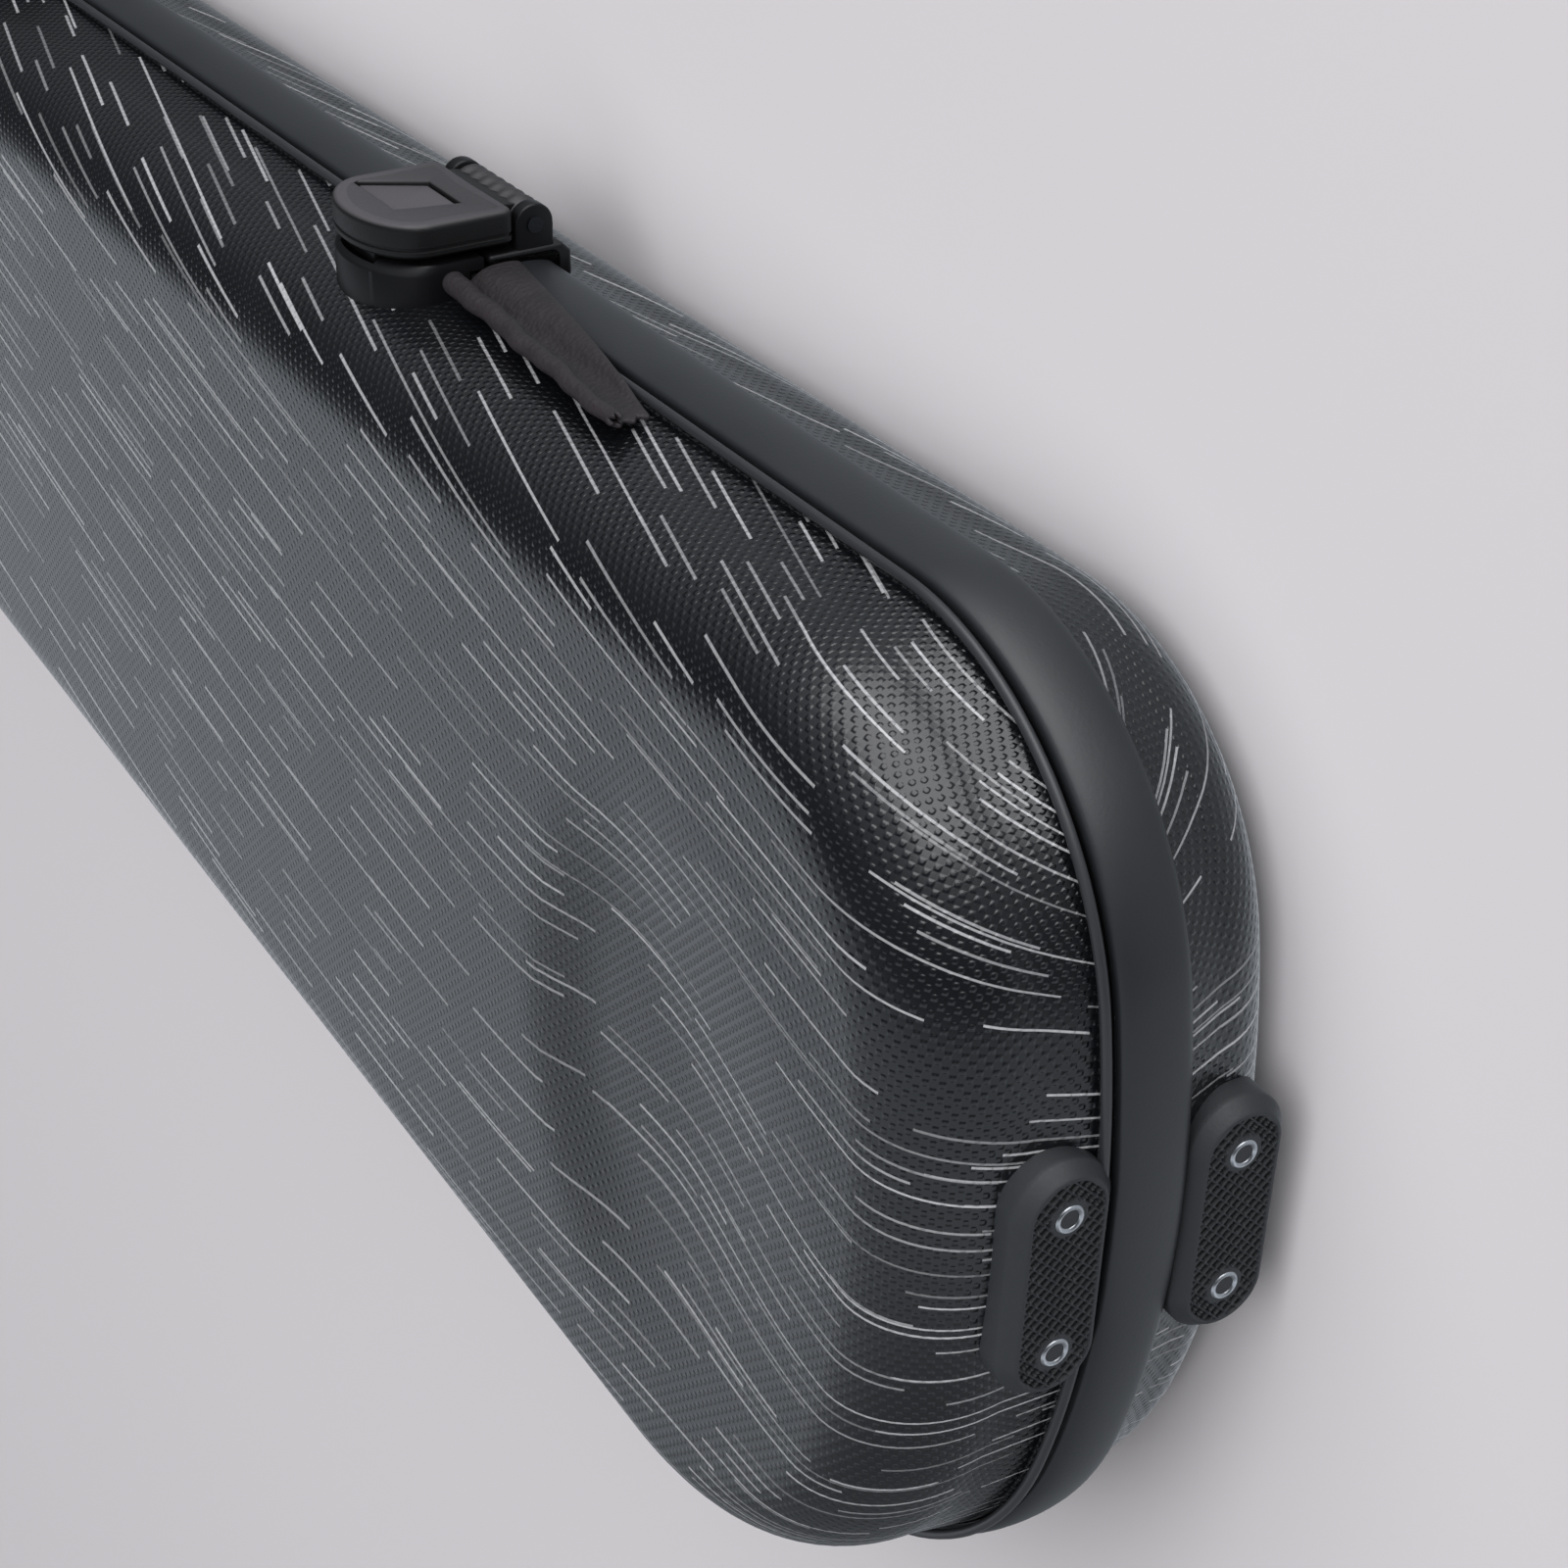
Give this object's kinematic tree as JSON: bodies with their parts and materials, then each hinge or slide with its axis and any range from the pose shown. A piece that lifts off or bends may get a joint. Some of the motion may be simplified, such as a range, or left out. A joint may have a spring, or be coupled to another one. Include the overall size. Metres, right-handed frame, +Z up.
{
  "type": "bow case",
  "caption": "Long tapered hard-shell case for instrument bows, hinged along its spine, with snap latches, a rim strip, rubber feet, a folding handle and a lined interior.",
  "frame": {"origin": "on the flat bottom of the back shell, midway along the case and midway between the spine and the latch side there", "axes": "+X from the wide end to the narrow end, +Y towards the hinges on the spine, +Z up through the lid"},
  "size_m": [0.795, 0.1538, 0.0534],
  "materials": {
    "shell_skin": "fine embossed, with silver streaks",
    "rim_rubber": "smooth satin",
    "piping": "satin",
    "foot_rubber": "fine netted",
    "rivet_metal": "plated",
    "hardware_plastic": "satin",
    "hinge_metal": "satin nickel plated",
    "post_metal": "satin nickel plated",
    "grip_rubber": "smooth moulded",
    "tab_leather": "soft, with a rough cut end",
    "velvet": "short pile"
  },
  "bodies": {
    "base": {"back_shell": "shell_skin", "base_end_foot": "foot_rubber", "base_end_foot_rivet_1": "rivet_metal", "base_end_foot_rivet_2": "rivet_metal", "base_lining": "velvet", "base_spine_foot_1": "foot_rubber", "base_spine_foot_1_rivet_1": "rivet_metal", "base_spine_foot_1_rivet_2": "rivet_metal", "base_spine_foot_2": "foot_rubber", "base_spine_foot_2_rivet_1": "rivet_metal", "base_spine_foot_2_rivet_2": "rivet_metal", "clip_post_1": "post_metal", "clip_post_2": "post_metal", "handle_1_bracket": "hardware_plastic", "handle_1_pin": "hinge_metal", "handle_2_bracket": "hardware_plastic", "handle_2_pin": "hinge_metal", "hinge_1_base_leaf": "hinge_metal", "hinge_1_pin": "hinge_metal", "hinge_2_base_leaf": "hinge_metal", "hinge_2_pin": "hinge_metal", "hinge_3_base_leaf": "hinge_metal", "hinge_3_pin": "hinge_metal", "latch_1_bracket": "hardware_plastic", "latch_1_pin": "hinge_metal", "latch_2_bracket": "hardware_plastic", "latch_2_pin": "hinge_metal", "rim_strip": "rim_rubber"},
    "bow_clip_1": {"bow_clip_1": "hardware_plastic"},
    "bow_clip_2": {"bow_clip_2": "hardware_plastic"},
    "lid": {"front_shell": "shell_skin", "hinge_1_lid_leaf": "hinge_metal", "hinge_2_lid_leaf": "hinge_metal", "hinge_3_lid_leaf": "hinge_metal", "latch_1_catch": "hardware_plastic", "latch_2_catch": "hardware_plastic", "lid_end_foot": "foot_rubber", "lid_end_foot_rivet_1": "rivet_metal", "lid_end_foot_rivet_2": "rivet_metal", "lid_lining": "velvet", "lid_lip": "hardware_plastic", "lid_piping": "piping", "lid_spine_foot_1": "foot_rubber", "lid_spine_foot_1_rivet_1": "rivet_metal", "lid_spine_foot_1_rivet_2": "rivet_metal", "lid_spine_foot_2": "foot_rubber", "lid_spine_foot_2_rivet_1": "rivet_metal", "lid_spine_foot_2_rivet_2": "rivet_metal", "pull_tab": "tab_leather"},
    "handle": {"handle": "grip_rubber"},
    "latch_1_button": {"latch_1_button": "hardware_plastic"},
    "latch_1_hasp": {"latch_1_hasp": "hardware_plastic"},
    "latch_2_button": {"latch_2_button": "hardware_plastic"},
    "latch_2_hasp": {"latch_2_hasp": "hardware_plastic"}
  },
  "joints": [
    {"name": "lid_hinge", "type": "hinge", "parent": "base", "child": "lid", "pos_m": [0, 0.06425, 0.0282], "axis": [-1, 0, 0], "range_deg": [0, 110]},
    {"name": "latch_1_hinge", "type": "hinge", "parent": "base", "child": "latch_1_hasp", "pos_m": [-0.22848, -0.08289, 0.0205], "axis": [0.9976, 0.07, 0], "range_deg": [0, 105]},
    {"name": "latch_1_push", "type": "slide", "parent": "latch_1_hasp", "child": "latch_1_button", "axis": [-0.07, 0.9976, 0], "range_m": [0, 0.0014], "stiffness_N_per_m": 500},
    {"name": "latch_2_hinge", "type": "hinge", "parent": "base", "child": "latch_2_hasp", "pos_m": [0.22952, -0.05077, 0.0205], "axis": [0.9976, 0.07, 0], "range_deg": [0, 105]},
    {"name": "latch_2_push", "type": "slide", "parent": "latch_2_hasp", "child": "latch_2_button", "axis": [-0.07, 0.9976, 0], "range_m": [0, 0.0014], "stiffness_N_per_m": 500},
    {"name": "handle_swing", "type": "hinge", "parent": "base", "child": "handle", "pos_m": [0.00053, -0.06703, 0.0146], "axis": [0.9976, 0.07, 0], "range_deg": [0, 95]},
    {"name": "bow_clip_1_turn", "type": "hinge", "parent": "base", "child": "bow_clip_1", "pos_m": [0.265, 0.01445, 0.0221], "axis": [0, 0, 1], "range_deg": [-90, 90]},
    {"name": "bow_clip_2_turn", "type": "hinge", "parent": "base", "child": "bow_clip_2", "pos_m": [-0.265, 0.01445, 0.0221], "axis": [0, 0, 1], "range_deg": [-90, 90]}
  ]
}
